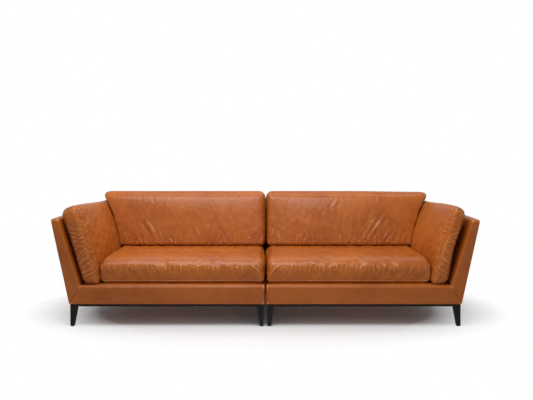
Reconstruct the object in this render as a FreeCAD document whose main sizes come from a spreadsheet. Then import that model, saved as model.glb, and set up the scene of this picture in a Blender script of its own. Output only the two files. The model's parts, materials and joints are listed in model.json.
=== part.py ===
import FreeCAD, Part
import os
import re

from FreeCAD import Placement, Rotation, Vector

# Leather sofa made of two half-sofas that stand side by side.
#
# Frame: origin on the floor, in the middle of the sofa's footprint. +X is to the
# right of someone who faces the sofa, +Y points to its back and +Z up. Lengths
# are in millimetres.
#
# The right half is modelled piece by piece and the left half is its mirror image
# in the YZ plane, apart from the two coupling pieces. Nearly every upholstered
# piece narrows or leans evenly with height, so it is a wedge between two level
# rectangles. What it fits to gives those rectangles: the leaning faces of the
# arm and of the back are the four functions arm_outer, arm_inner, back_outer and
# back_inner, which give a face's place at any height.

DIMENSIONS = {
    # the whole sofa
    "overall_width": 2860,
    "arm_flare": 123,
    "overall_depth": 950,
    "overall_height": 840,
    "arm_height": 715,
    "back_flare": 121,
    "module_gap": 12,
    # the base
    "leg_height": 133,
    "plinth_height": 12,
    "apron_height": 125,
    # arm and back shells
    "arm_top_width": 46,
    "arm_foot_width": 93,
    "back_top_width": 55,
    "back_foot_width": 93,
    # materials
    "leather_thickness": 1.5,
    "padding_thickness": 10,
    "frame_thickness": 25,
    "rail_height": 100,
    "cross_rail_height": 60,
    "post_width": 60,
    "deck_thickness": 15,
    "dust_cover_thickness": 1,
    # legs
    "leg_top_width": 44,
    "leg_foot_width": 26,
    "leg_inset": 4,
    "inner_leg_inset": 7,
    "leg_edge_radius": 2,
    "glide_radius": 11,
    "glide_thickness": 4,
    "plinth_width": 52,
    "bolt_radius": 4,
    "bolt_in_leg": 40,
    "bolt_in_frame": 25,
    "hole_clearance": 0.1,
    "hole_overrun": 1,
    # springs and straps
    "spring_count": 7,
    "spring_wire_radius": 1.9,
    "spring_width": 56,
    "spring_pitch": 36,
    "spring_bearing": 14,
    "clip_length": 22,
    "clip_width": 16,
    "clip_wall": 2,
    "strap_count": 6,
    "strap_width": 60,
    "strap_thickness": 1.5,
    # cushions
    "cushion_gap": 2,
    "cushion_leather": 1.3,
    "deck_gap": 2,
    "seat_height": 168,
    "seat_front_inset": 32,
    "seat_side_flare": 24,
    "seat_edge_radius": 45,
    "back_foot_depth": 240,
    "back_top_depth": 205,
    "back_edge_radius": 50,
    "arm_cushion_width": 134,
    "arm_cushion_top": 796,
    "arm_cushion_inset": 26,
    "arm_edge_radius": 42,
    # coupling between the two halves
    "coupling_height": 195,
    "coupling_front": 300,
    "coupling_rear": 200,
    "pin_radius": 8,
    "pin_reach": 34,
    "pin_nose": 5,
    "pin_clearance": 0.08,
    "bush_radius": 12,
    "flange_radius": 20,
    "flange_thickness": 3,
}

doc = FreeCAD.newDocument("two_part_sofa")
sheet = doc.addObject("Spreadsheet::Sheet", "Dimensions")
for row, (alias, number) in enumerate(DIMENSIONS.items(), start=1):
    sheet.set(f"A{row}", alias)
    sheet.set(f"B{row}", str(number))
    sheet.setAlias(f"B{row}", alias)
doc.recompute()

WORD = re.compile(r"[a-z_]+")
X_AXIS = Vector(1, 0, 0)
UPRIGHT = Rotation(X_AXIS, 90)
ALONG_X = Rotation(Vector(0, 1, 0), 90)


def cells(text):
    """The expression with every dimension's name turned into its cell."""
    def named(match):
        word = match.group()
        return f"Dimensions.{word}" if word in DIMENSIONS else word

    return WORD.sub(named, str(text))


def value(text):
    """The number that an expression in the sheet's dimensions comes to."""
    return float(sheet.evalExpression(cells(text)))


def bind(feature, **expressions):
    """Binds a feature's properties to expressions in the sheet's dimensions."""
    for name, text in expressions.items():
        feature.setExpression(name, cells(text))


def bind_place(feature, x, y, z):
    """Binds the three coordinates of a feature's place."""
    for axis, text in zip("xyz", (x, y, z)):
        feature.setExpression(f"Placement.Base.{axis}", cells(text))


# Levels, from the floor up
PLINTH = "leg_height"
BASE = "(leg_height + plinth_height)"
DECK = f"({BASE} + apron_height)"
RAIL_TOP = f"({BASE} + rail_height)"
SEAT_BOTTOM = f"({DECK} + deck_gap)"
SEAT_TOP = f"({SEAT_BOTTOM} + seat_height)"
SKIN_TOP = "(arm_height - leather_thickness)"
FRAME_TOP = "(arm_height - leather_thickness - padding_thickness)"
TOP_RAIL_BOTTOM = f"({FRAME_TOP} - post_width)"

# Half the base's width at its lower edge
HALF_BASE = "(overall_width / 2 - arm_flare)"

# Faces that stand straight
INNER_END = "(module_gap / 2)"
FRONT = "(-overall_depth / 2)"
SHELL = "(leather_thickness + padding_thickness)"


def between(at_low, at_high, low, high, z):
    """Place at height z of a face that leans from at_low to at_high."""
    return f"({at_low} + ({z} - {low}) * ({at_high} - {at_low}) / ({high} - {low}))"


def arm_outer(z):
    """The arm's outer face, which is also the base's outer end."""
    return between(HALF_BASE, "overall_width / 2", BASE, "arm_height", z)


def arm_inner(z):
    """The arm's face towards the seat."""
    foot = f"({arm_outer(DECK)} - arm_foot_width)"
    return between(foot, "(overall_width / 2 - arm_top_width)", DECK, "arm_height", z)


def back_outer(z):
    """The sofa's rear face."""
    top = "(overall_depth / 2)"
    return between(f"({top} - back_flare)", top, BASE, "arm_height", z)


def back_inner(z):
    """The back's face towards the seat."""
    foot = f"({back_outer(DECK)} - back_foot_width)"
    return between(foot, "(overall_depth / 2 - back_top_width)", DECK, "arm_height", z)


def arm_cushion_inner(z):
    """The arm cushion's face towards the seat."""
    return f"({arm_inner(z)} - cushion_gap - arm_cushion_width)"


def arm_slab(z):
    """Inner and outer face of the timber inside the arm and the base's end."""
    outer = f"({arm_outer(z)} - {SHELL})"
    return f"({outer} - frame_thickness)", outer


def back_slab(z):
    """Front and rear face of the timber inside the back."""
    rear = f"({back_outer(z)} - {SHELL})"
    return f"({rear} - frame_thickness)", rear


def set_wedge(feature, z_low, z_high, outline):
    """Sizes a wedge whose level section at height z is outline(z): x0, x1, y0, y1."""
    feature.Placement = Placement(Vector(), UPRIGHT)
    x0, x1, y0, y1 = outline(z_low)
    bind(feature, Xmin=x0, Xmax=x1, Zmin=f"-({y1})", Zmax=f"-({y0})", Ymin=z_low)
    x0, x1, y0, y1 = outline(z_high)
    bind(feature, X2min=x0, X2max=x1, Z2min=f"-({y1})", Z2max=f"-({y0})", Ymax=z_high)


def wedge_body(label, z_low, z_high, outline, edge_radius=None):
    """A solid with the level section outline(z), its edges rounded if asked for."""
    body = doc.addObject("PartDesign::Body", label)
    body.Label = label
    solid = body.newObject("PartDesign::AdditiveWedge", f"{label}_form")
    set_wedge(solid, z_low, z_high, outline)
    if edge_radius:
        doc.recompute()
        fillet = body.newObject("PartDesign::Fillet", f"{label}_edges")
        fillet.Base = (solid, ["Edge1"])
        fillet.UseAllEdges = True
        bind(fillet, Radius=edge_radius)
    return body


def hollow(body, z_low, z_high, outline):
    """Cuts a wedge-shaped hollow out of a body."""
    cut = body.newObject("PartDesign::SubtractiveWedge", f"{body.Name}_hollow")
    set_wedge(cut, z_low, z_high, outline)


def drill_up(body, x, y, z, radius, depth):
    """Drills a round hole upwards into a body from the point x, y, z."""
    drill = body.newObject("PartDesign::SubtractiveCylinder", f"{body.Name}_bore")
    bind(drill, Radius=radius, Height=depth)
    bind_place(drill, x, y, z)


def drill_across(body, x, y, radius, depth):
    """Drills a round hole in +X into a body at the coupling's height."""
    drill = body.newObject("PartDesign::SubtractiveCylinder", f"{body.Name}_bore")
    drill.Placement = Placement(Vector(), ALONG_X)
    bind(drill, Radius=radius, Height=depth)
    bind_place(drill, x, y, "coupling_height")


def cylinder(name, radius, height, x, y, z, rotation=None):
    """An upright cylinder, or one turned by rotation, at x, y, z."""
    solid = doc.addObject("Part::Cylinder", name)
    if rotation:
        solid.Placement = Placement(Vector(), rotation)
    bind(solid, Radius=radius, Height=height)
    bind_place(solid, x, y, z)
    return solid


def group(label, members):
    """Several separate solids that share one node."""
    compound = doc.addObject("Part::Compound", label)
    compound.Label = label
    compound.Links = members
    return compound


right = {}


def keep(name, piece):
    """Notes a piece of the right half under its name without the side."""
    piece.Label = f"right_{name}"
    right[name] = piece
    return piece


# --- Legs, glides, bolts and the black plinth -------------------------------

X_LEG = {
    "inner": f"({INNER_END} + inner_leg_inset)",
    "outer": f"({HALF_BASE} - leg_inset)",
}
Y_LEG = {
    "front": f"({FRONT} + leg_inset)",
    "rear": f"({back_outer(BASE)} - leg_inset)",
}


def from_corner(place, inwards, width):
    """The span of a width that starts at an outside face and goes inwards."""
    if inwards > 0:
        return place, f"({place} + {width})"
    return f"({place} - {width})", place


def bolt_centre(side, end):
    """Where the leg's bolt stands: the middle of the leg's top."""
    x_sign = "+" if side == "inner" else "-"
    y_sign = "+" if end == "front" else "-"
    x = f"({X_LEG[side]} {x_sign} leg_top_width / 2)"
    y = f"({Y_LEG[end]} {y_sign} leg_top_width / 2)"
    return x, y


def leg_section(side, end):
    """The leg's level section: square, tapering away from the sofa's corner."""
    def outline(z):
        width = between("leg_foot_width", "leg_top_width", "glide_thickness", PLINTH, z)
        x = from_corner(X_LEG[side], 1 if side == "inner" else -1, width)
        y = from_corner(Y_LEG[end], 1 if end == "front" else -1, width)
        return (*x, *y)

    return outline


CORNERS = [(side, end) for end in ("front", "rear") for side in ("inner", "outer")]
BOLT_HOLE = "(bolt_radius + hole_clearance)"
BOLT_BOTTOM = "(leg_height - bolt_in_leg)"
FRAME_HOLE_DEPTH = "(bolt_in_frame + hole_overrun)"

for side, end in CORNERS:
    name = f"{end}_{side}_leg"
    section = leg_section(side, end)
    leg = keep(name, wedge_body(name, "glide_thickness", PLINTH, section, "leg_edge_radius"))
    x, y = bolt_centre(side, end)
    hole_bottom = f"({BOLT_BOTTOM} - hole_overrun)"
    drill_up(leg, x, y, hole_bottom, BOLT_HOLE, "(bolt_in_leg + hole_overrun)")


def glide(side, end):
    """The round glide nailed under a leg's foot."""
    x_sign = "+" if side == "inner" else "-"
    y_sign = "+" if end == "front" else "-"
    x = f"({X_LEG[side]} {x_sign} leg_foot_width / 2)"
    y = f"({Y_LEG[end]} {y_sign} leg_foot_width / 2)"
    return cylinder("glide", "glide_radius", "glide_thickness", x, y, "0")


def leg_bolt(side, end):
    """The bolt that joins a leg to the plinth and to the timber above it."""
    x, y = bolt_centre(side, end)
    length = "(bolt_in_leg + plinth_height + bolt_in_frame)"
    return cylinder("bolt", "bolt_radius", length, x, y, BOLT_BOTTOM)


keep("glides", group("glides", [glide(*corner) for corner in CORNERS]))
keep("leg_bolts", group("leg_bolts", [leg_bolt(*corner) for corner in CORNERS]))


def plinth_rail(end):
    """The plinth's rail along the front or the rear, with its two bolt holes."""
    y = from_corner(Y_LEG[end], 1 if end == "front" else -1, "plinth_width")
    body = wedge_body(f"plinth_{end}", PLINTH, BASE, lambda z: (X_LEG["inner"], X_LEG["outer"], *y))
    for side in ("inner", "outer"):
        x_bolt, y_bolt = bolt_centre(side, end)
        drill_up(body, x_bolt, y_bolt, PLINTH, BOLT_HOLE, "plinth_height")
    return body


def plinth_end(side):
    """The plinth's rail from front to rear at one end."""
    x = from_corner(X_LEG[side], 1 if side == "inner" else -1, "plinth_width")
    y0 = f"({Y_LEG['front']} + plinth_width)"
    y1 = f"({Y_LEG['rear']} - plinth_width)"
    return wedge_body(f"plinth_{side}", PLINTH, BASE, lambda z: (*x, y0, y1))


rails = [plinth_rail("front"), plinth_rail("rear"), plinth_end("inner"), plinth_end("outer")]
keep("plinth", group("plinth", rails))

# --- Timber of the base -----------------------------------------------------

FRONT_RAIL_REAR = f"({FRONT} + {SHELL} + frame_thickness)"
FRAME_INNER_END = f"({INNER_END} + {SHELL})"


def front_rail_section(z):
    return FRAME_INNER_END, arm_slab(z)[0], f"({FRONT} + {SHELL})", FRONT_RAIL_REAR


def rear_rail_section(z):
    return (FRAME_INNER_END, arm_slab(z)[0], *back_slab(z))


def inner_side_rail_section(z):
    x1 = f"({FRAME_INNER_END} + frame_thickness)"
    return FRAME_INNER_END, x1, FRONT_RAIL_REAR, back_slab(z)[0]


def arm_post_section(end):
    """Level section of the post at the front or the rear of the arm."""
    def outline(z):
        if end == "front":
            y0 = f"({FRONT} + {SHELL})"
            return (*arm_slab(z), y0, f"({y0} + post_width)")
        y1 = back_slab(z)[1]
        return (*arm_slab(z), f"({y1} - post_width)", y1)

    return outline


def between_arm_posts(z):
    y0 = arm_post_section("front")(z)[3]
    y1 = arm_post_section("rear")(z)[2]
    return (*arm_slab(z), y0, y1)


def cross_rail_section(z):
    middle = f"(({INNER_END} + {HALF_BASE}) / 2)"
    half = "frame_thickness / 2"
    return f"({middle} - {half})", f"({middle} + {half})", FRONT_RAIL_REAR, back_slab(z)[0]


front_rail = keep("front_rail", wedge_body("front_rail", BASE, RAIL_TOP, front_rail_section))
rear_rail = keep("rear_rail", wedge_body("rear_rail", BASE, RAIL_TOP, rear_rail_section))
for end, rail in (("front", front_rail), ("rear", rear_rail)):
    drill_up(rail, *bolt_centre("inner", end), BASE, BOLT_HOLE, FRAME_HOLE_DEPTH)

inner_side_rail = wedge_body("inner_side_rail", BASE, RAIL_TOP, inner_side_rail_section)
outer_side_rail = wedge_body("outer_side_rail", BASE, RAIL_TOP, between_arm_posts)
COUPLING_Y = ("-coupling_front", "coupling_rear")
BUSH_HOLE = "(bush_radius + hole_clearance)"
for y in COUPLING_Y:
    drill_across(inner_side_rail, FRAME_INNER_END, y, BUSH_HOLE, "frame_thickness")
keep("side_rails", group("side_rails", [inner_side_rail, outer_side_rail]))

CROSS_RAIL_TOP = f"({BASE} + cross_rail_height)"
keep("cross_rail", wedge_body("cross_rail", BASE, CROSS_RAIL_TOP, cross_rail_section))

# --- Timber of the arm and the back -----------------------------------------

arm_timbers = []
for end in ("front", "rear"):
    post = wedge_body(f"arm_{end}_post", BASE, FRAME_TOP, arm_post_section(end))
    drill_up(post, *bolt_centre("outer", end), BASE, BOLT_HOLE, FRAME_HOLE_DEPTH)
    arm_timbers.append(post)
arm_timbers.append(wedge_body("arm_top_rail", TOP_RAIL_BOTTOM, FRAME_TOP, between_arm_posts))
keep("arm_frame", group("arm_frame", arm_timbers))

BACK_X0 = f"({INNER_END} + {SHELL})"


def back_x1(z):
    """Outer end of the timber inside the back."""
    return f"({arm_inner(z)} - {SHELL})"


def back_post_section(side):
    """Level section of the back's post at the inner or the outer end."""
    def outline(z):
        if side == "inner":
            return (BACK_X0, f"({BACK_X0} + post_width)", *back_slab(z))
        return (f"({back_x1(z)} - post_width)", back_x1(z), *back_slab(z))

    return outline


def between_back_posts(z):
    x0 = back_post_section("inner")(z)[1]
    return (x0, back_post_section("outer")(z)[0], *back_slab(z))


LOW_RAIL_TOP = f"({DECK} + post_width)"
back_timbers = [
    wedge_body("back_inner_post", RAIL_TOP, FRAME_TOP, back_post_section("inner")),
    wedge_body("back_outer_post", RAIL_TOP, FRAME_TOP, back_post_section("outer")),
    wedge_body("back_low_rail", DECK, LOW_RAIL_TOP, between_back_posts),
    wedge_body("back_top_rail", TOP_RAIL_BOTTOM, FRAME_TOP, between_back_posts),
]
keep("back_frame", group("back_frame", back_timbers))


def strap(number):
    """One elastic strap, from the back's low rail to its top rail."""
    def outline(z):
        x0, x1, front, _ = between_back_posts(z)
        middle = f"({x0} + ({x1} - {x0}) * ({number} + 0.5) / strap_count)"
        left, right_edge = f"({middle} - strap_width / 2)", f"({middle} + strap_width / 2)"
        return left, right_edge, front, f"({front} + strap_thickness)"

    return wedge_body(f"strap_{number}", LOW_RAIL_TOP, TOP_RAIL_BOTTOM, outline)


straps = [strap(number) for number in range(int(value("strap_count")))]
keep("back_straps", group("back_straps", straps))

# --- Sinuous seat springs with their clips ----------------------------------


def sinuous_wire(start, length, pitch, width, z):
    """A wire that runs to and fro across X while it works its way along +Y."""
    bars = int(length / pitch)
    step = length / bars
    turn = step / 2
    reach = width / 2 - turn
    edges = []
    for bar in range(bars + 1):
        y = start.y + bar * step
        sign = 1 if bar % 2 == 0 else -1
        near, far = start.x - sign * reach, start.x + sign * reach
        edges.append(Part.LineSegment(Vector(near, y, z), Vector(far, y, z)).toShape())
        if bar < bars:
            crest = Vector(far + sign * turn, y + turn, z)
            bend = Part.Arc(Vector(far, y, z), crest, Vector(far, y + step, z))
            edges.append(bend.toShape())
    return Part.Wire(edges)


def clip(x, y, z):
    """The clip that holds a spring's end bar down on a rail."""
    half_height = value("clip_wall + spring_wire_radius")
    size = Vector(value("clip_length"), value("clip_width"), 2 * half_height)
    block = Part.makeBox(*size, Vector(x, y, z) - size / 2)
    radius = value("spring_wire_radius + hole_clearance")
    return block.cut(Part.makeCylinder(radius, size.x, Vector(x - size.x / 2, y, z), X_AXIS))


def build_springs():
    """All springs of one half, each a swept wire, with a clip at both its ends."""
    radius = value("spring_wire_radius")
    y_front = value(f"{FRONT} + {SHELL} + spring_bearing")
    y_rear = value(f"{back_slab(RAIL_TOP)[1]} - spring_bearing")
    x_low = value(back_post_section("inner")(RAIL_TOP)[1])
    x_high = value(back_post_section("outer")(RAIL_TOP)[0])
    z = value(f"{RAIL_TOP} + clip_wall + spring_wire_radius")
    count = int(value("spring_count"))
    solids = []
    for number in range(count):
        x = x_low + (x_high - x_low) * (number + 0.5) / count
        path = sinuous_wire(
            Vector(x, y_front, 0), y_rear - y_front, value("spring_pitch"), value("spring_width"), z
        )
        first = path.OrderedEdges[0]
        profile = Part.Wire(Part.makeCircle(radius, first.valueAt(first.FirstParameter), X_AXIS))
        solids.append(path.makePipeShell([profile], True, True))
        solids += [clip(x, y, z) for y in (y_front, y_rear)]
    return Part.Compound(solids)


springs = doc.addObject("Part::Feature", "springs")
springs.Shape = build_springs()
keep("springs", springs)

# --- Deck, padding, covers and dust cover -----------------------------------


def deck_section(z):
    return FRAME_INNER_END, arm_slab(z)[0], f"({FRONT} + {SHELL})", back_slab(z)[0]


keep("deck_pad", wedge_body("deck_pad", f"({DECK} - deck_thickness)", DECK, deck_section))


def base_section(inset):
    """The upholstered base, shrunk by an inset on its four sides."""
    def outline(z):
        x1 = f"({arm_outer(z)} - {inset})"
        y1 = f"({back_outer(z)} - {inset})"
        return f"({INNER_END} + {inset})", x1, f"({FRONT} + {inset})", y1

    return outline


def arm_section(inset):
    """The upholstered arm above the deck, shrunk by an inset on its four sides."""
    def outline(z):
        x = (f"({arm_inner(z)} + {inset})", f"({arm_outer(z)} - {inset})")
        return (*x, f"({FRONT} + {inset})", f"({back_outer(z)} - {inset})")

    return outline


def back_section(inset):
    """The upholstered back above the deck, shrunk by an inset on its four sides."""
    def outline(z):
        x = (f"({INNER_END} + {inset})", f"({arm_inner(z)} - {inset})")
        return (*x, f"({back_inner(z)} + {inset})", f"({back_outer(z)} - {inset})")

    return outline


def arm_frame_room(z):
    """The hollow in the arm's padding that the timber fills."""
    return (*arm_slab(z), f"({FRONT} + {SHELL})", back_slab(z)[1])


def back_frame_room(z):
    """The hollow in the back's padding that the timber fills."""
    return (BACK_X0, back_x1(z), *back_slab(z))


def lip_section(z):
    """The leather turned in over the front rail, under the seat cushion."""
    return INNER_END, arm_inner(z), FRONT, FRONT_RAIL_REAR


base_cover = wedge_body("base_cover", BASE, DECK, base_section("0"))
hollow(base_cover, BASE, DECK, base_section("leather_thickness"))
base_pad = wedge_body("base_pad", BASE, DECK, base_section("leather_thickness"))
hollow(base_pad, BASE, DECK, base_section(SHELL))
for y in COUPLING_Y:
    drill_across(base_cover, INNER_END, y, BUSH_HOLE, "leather_thickness")
    drill_across(base_pad, INNER_END, y, BUSH_HOLE, SHELL)
lip = base_cover.newObject("PartDesign::AdditiveWedge", "base_cover_lip")
set_wedge(lip, DECK, f"({DECK} + leather_thickness)", lip_section)
keep("base_cover", base_cover)
keep("base_pad", base_pad)

for name, section, room in (
    ("arm", arm_section, arm_frame_room),
    ("back", back_section, back_frame_room),
):
    cover = wedge_body(f"{name}_cover", DECK, "arm_height", section("0"))
    hollow(cover, DECK, SKIN_TOP, section("leather_thickness"))
    keep(f"{name}_cover", cover)
    pad = wedge_body(f"{name}_pad", DECK, SKIN_TOP, section("leather_thickness"))
    hollow(pad, DECK, FRAME_TOP, room)
    keep(f"{name}_pad", pad)


def dust_cover_section(z):
    x0 = f"({X_LEG['inner']} + plinth_width)"
    x1 = f"({X_LEG['outer']} - plinth_width)"
    return x0, x1, f"({Y_LEG['front']} + plinth_width)", f"({Y_LEG['rear']} - plinth_width)"


DUST_BOTTOM = f"({BASE} - dust_cover_thickness)"
keep("dust_cover", wedge_body("dust_cover", DUST_BOTTOM, BASE, dust_cover_section))

# --- Loose cushions, each a filling in a leather cover ----------------------

CUSHION_END = f"({INNER_END} + cushion_gap)"


def seat_cushion_section(inset):
    def outline(z):
        foot = f"({arm_cushion_inner(DECK)} - cushion_gap)"
        side = between(foot, f"({foot} + seat_side_flare)", SEAT_BOTTOM, SEAT_TOP, z)
        x = (f"({CUSHION_END} + {inset})", f"({side} - {inset})")
        y1 = f"({back_inner(DECK)} - cushion_gap - {inset})"
        return (*x, f"({FRONT} + seat_front_inset + {inset})", y1)

    return outline


BACK_BOTTOM = f"({SEAT_TOP} + cushion_gap)"


def back_cushion_section(inset):
    def outline(z):
        x1 = f"({arm_cushion_inner(z)} - cushion_gap - {inset})"
        rear = f"({back_inner(z)} - cushion_gap)"
        depth = between("back_foot_depth", "back_top_depth", BACK_BOTTOM, "overall_height", z)
        y = (f"({rear} - {depth} + {inset})", f"({rear} - {inset})")
        return (f"({CUSHION_END} + {inset})", x1, *y)

    return outline


def arm_cushion_section(inset):
    def outline(z):
        x = (f"({arm_cushion_inner(z)} + {inset})", f"({arm_inner(z)} - cushion_gap - {inset})")
        y0 = f"({FRONT} + arm_cushion_inset + {inset})"
        return (*x, y0, f"({back_inner(z)} - cushion_gap - {inset})")

    return outline


def cushion(name, z_low, z_high, section, edge_radius):
    """A filling and the leather cover that fits round it, as two pieces."""
    skin = "cushion_leather"
    outside = wedge_body(f"{name}_form", z_low, z_high, section("0"), edge_radius)
    fill_radius = f"({edge_radius} - {skin})"
    low, high = f"({z_low} + {skin})", f"({z_high} - {skin})"
    fill = wedge_body(f"{name}_fill", low, high, section(skin), fill_radius)
    cover = doc.addObject("Part::Cut", f"{name}_cover")
    cover.Base = outside
    cover.Tool = fill
    keep(f"{name}_fill", fill)
    keep(f"{name}_cover", cover)


ARM_TOP = "arm_cushion_top"
cushion("seat_cushion", SEAT_BOTTOM, SEAT_TOP, seat_cushion_section, "seat_edge_radius")
cushion("back_cushion", BACK_BOTTOM, "overall_height", back_cushion_section, "back_edge_radius")
cushion("arm_cushion", SEAT_BOTTOM, ARM_TOP, arm_cushion_section, "arm_edge_radius")
doc.recompute()

# --- The left half, mirrored, and the coupling that differs ------------------

nodes = []
for name, piece in right.items():
    twin = doc.addObject("Part::Mirroring", f"left_{name}")
    twin.Label = f"left_{name}"
    twin.Source = piece
    twin.Base = Vector()
    twin.Normal = X_AXIS
    nodes += [piece, twin]


def turned(name, radius, x0, x1, y):
    """A cylinder along X from x0 to x1, at the coupling's height."""
    return cylinder(name, radius, f"({x1}) - ({x0})", x0, y, "coupling_height", ALONG_X)


FLANGE_FACE = f"({INNER_END} - flange_thickness)"
BUSH_END = f"({FRAME_INNER_END} + frame_thickness)"
PIN_BORE = "(pin_radius + pin_clearance)"


def joined(name, kind, solids):
    """A boolean of Part solids: a fusion of all or a cut of the second from the first."""
    feature = doc.addObject(f"Part::{kind}", name)
    if kind == "MultiFuse":
        feature.Shapes = solids
    else:
        feature.Base, feature.Tool = solids
    return feature


def bush(y):
    """The right half's bush: a flanged sleeve through the inner side rail."""
    flange = turned("bush_flange", "flange_radius", FLANGE_FACE, INNER_END, y)
    sleeve = turned("bush_sleeve", "bush_radius", INNER_END, BUSH_END, y)
    bore = turned("bush_bore", PIN_BORE, FLANGE_FACE, BUSH_END, y)
    return joined("bush", "Cut", (joined("bush_blank", "MultiFuse", [flange, sleeve]), bore))


def pin(y):
    """The left half's pin: it points to the right half and reaches into its bush."""
    shank = turned("pin_shank", "bush_radius", f"-{BUSH_END}", f"-{INNER_END}", y)
    flange = turned("pin_flange", "flange_radius", f"-{INNER_END}", f"-{FLANGE_FACE}", y)
    shaft = turned("pin_shaft", "pin_radius", f"-{FLANGE_FACE}", "pin_reach", y)
    nose = doc.addObject("Part::Cone", "pin_nose")
    nose.Placement = Placement(Vector(), ALONG_X)
    bind(nose, Radius1="pin_radius", Radius2="(pin_radius / 2)", Height="pin_nose")
    bind_place(nose, "pin_reach", y, "coupling_height")
    return joined("pin", "MultiFuse", [shank, flange, shaft, nose])


nodes.append(group("left_coupling_pins", [pin(y) for y in COUPLING_Y]))
nodes.append(group("right_coupling_bushes", [bush(y) for y in COUPLING_Y]))
doc.recompute()

# --- Checks and export --------------------------------------------------------

broken = [o.Label for o in doc.Objects if {"Invalid", "Error"} & set(o.State)]
if broken:
    raise RuntimeError(f"features that failed: {', '.join(broken)}")
for node in nodes:
    if node.Shape.isNull() or not node.Shape.isValid() or not node.Shape.Solids:
        raise RuntimeError(f"{node.Label} has no valid solid")

os.makedirs("parts", exist_ok=True)
for node in nodes:
    node.Shape.exportStep(f"parts/{node.Label}.step")
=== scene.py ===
"""A leather sofa in two halves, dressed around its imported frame.

Every place and size comes from the frame: the leaning faces of a piece are read from
the flat faces of its solid, so the leather follows the timber whatever the sizes are.
"""

import json
import logging
import math
from abc import ABC, abstractmethod
from collections.abc import Callable
from dataclasses import dataclass
from enum import Enum
from typing import Any

import bmesh
import bpy
import numpy as np
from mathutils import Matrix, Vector


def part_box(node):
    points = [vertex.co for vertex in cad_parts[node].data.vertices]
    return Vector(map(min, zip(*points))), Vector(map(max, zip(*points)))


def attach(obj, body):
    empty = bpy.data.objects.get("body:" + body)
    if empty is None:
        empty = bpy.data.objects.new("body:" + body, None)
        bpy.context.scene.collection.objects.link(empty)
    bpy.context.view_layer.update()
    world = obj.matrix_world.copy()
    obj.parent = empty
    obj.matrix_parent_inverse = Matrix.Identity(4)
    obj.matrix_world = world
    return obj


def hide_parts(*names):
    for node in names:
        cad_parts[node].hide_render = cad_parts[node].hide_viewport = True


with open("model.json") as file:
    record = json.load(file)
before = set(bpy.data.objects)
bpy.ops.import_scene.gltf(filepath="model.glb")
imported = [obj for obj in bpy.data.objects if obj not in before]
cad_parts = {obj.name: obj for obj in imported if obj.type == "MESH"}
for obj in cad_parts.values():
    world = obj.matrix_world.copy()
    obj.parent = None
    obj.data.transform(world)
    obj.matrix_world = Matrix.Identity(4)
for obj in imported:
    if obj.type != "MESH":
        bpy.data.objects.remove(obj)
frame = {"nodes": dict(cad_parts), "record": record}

log = logging.getLogger("sofa")

Points = np.ndarray
Triple = tuple[float, float, float]
Tree = bpy.types.NodeTree
Socket = bpy.types.NodeSocket
Value = bpy.types.NodeSocket | float

MM = 0.001
TINY = 1e-9
# A face looks towards a direction when its normal runs this much along it.
LOOKS_TOWARDS = 0.9
# A point of the cube from -1 to 1 is on a face when a coordinate is past this.
ON_FACE = 0.999


class Side(Enum):
    """Which half of the sofa, with the sign of its X."""

    LEFT = -1
    RIGHT = 1

    @property
    def word(self) -> str:
        """The side's name as the frame writes it."""
        return self.name.lower()


# --- Reading the frame ------------------------------------------------------


@dataclass(frozen=True)
class Plane:
    """A flat face of a solid: a point on it and its outward normal."""

    point: Points
    normal: Points


def triangles(node: str) -> Points:
    """The triangles of a frame node.

    Args:
        node: The node's name.

    Returns:
        An array of shape (count, 3, 3): each triangle's three corners.
    """
    mesh = frame["nodes"][node].data
    places = np.empty(len(mesh.vertices) * 3)
    mesh.vertices.foreach_get("co", places)
    mesh.calc_loop_triangles()
    corners = np.empty(len(mesh.loop_triangles) * 3, dtype=np.int32)
    mesh.loop_triangles.foreach_get("vertices", corners)
    return places.reshape(-1, 3)[corners.reshape(-1, 3)]


def main_face(node: str, direction: tuple[int, int, int], share: float) -> Plane:
    """The outermost of a node's large flat faces that look towards a direction.

    Args:
        node: The node's name.
        direction: A unit step along X, Y or Z.
        share: How large a triangle has to be, as a share of the largest one.

    Returns:
        The face's plane.
    """
    corners = triangles(node)
    cross = np.cross(corners[:, 1] - corners[:, 0], corners[:, 2] - corners[:, 0])
    area = np.linalg.norm(cross, axis=1)
    facing = cross @ np.array(direction) / np.maximum(area, 1e-12)
    area = np.where(facing > LOOKS_TOWARDS, area, 0.0)
    reach = corners.mean(axis=1) @ np.array(direction)
    best = int(np.argmax(np.where(area > share * area.max(), reach, -np.inf)))
    return Plane(corners[best, 0], cross[best] / area[best])


def crossing(planes: tuple[Plane, Plane, Plane]) -> Points:
    """Finds the point where three planes meet.

    Args:
        planes: The planes, no two of them parallel.

    Returns:
        The point.
    """
    normals = np.array([plane.normal for plane in planes])
    offsets = np.array([plane.normal @ plane.point for plane in planes])
    return np.linalg.solve(normals, offsets)


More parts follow.
